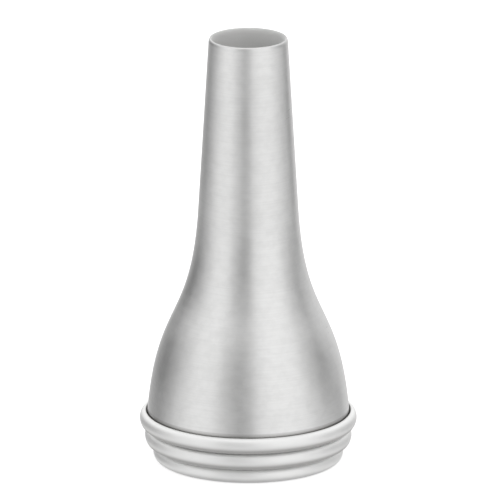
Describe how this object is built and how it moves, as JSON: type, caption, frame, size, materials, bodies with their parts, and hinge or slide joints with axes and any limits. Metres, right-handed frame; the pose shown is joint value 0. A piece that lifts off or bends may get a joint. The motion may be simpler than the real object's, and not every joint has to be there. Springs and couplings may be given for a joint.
{
  "type": "ear speculum",
  "caption": "Metal ear speculum: a thin satin funnel with a 6 mm tip, soldered into a polished collar of stepped round beads",
  "frame": {"origin": "centre of the collar's flat foot, on the funnel's axis", "axes": "+Z is the sight line, from the foot to the tip; the part is round about it, so +X and +Y are free"},
  "size_m": [0.018, 0.018, 0.0362],
  "materials": {
    "satin_nickel": "satin",
    "polished_nickel": "polished",
    "soft_solder": "satin"
  },
  "bodies": {
    "root": {"funnel": "satin_nickel", "collar": "polished_nickel", "solder_ring": "soft_solder"}
  },
  "joints": []
}
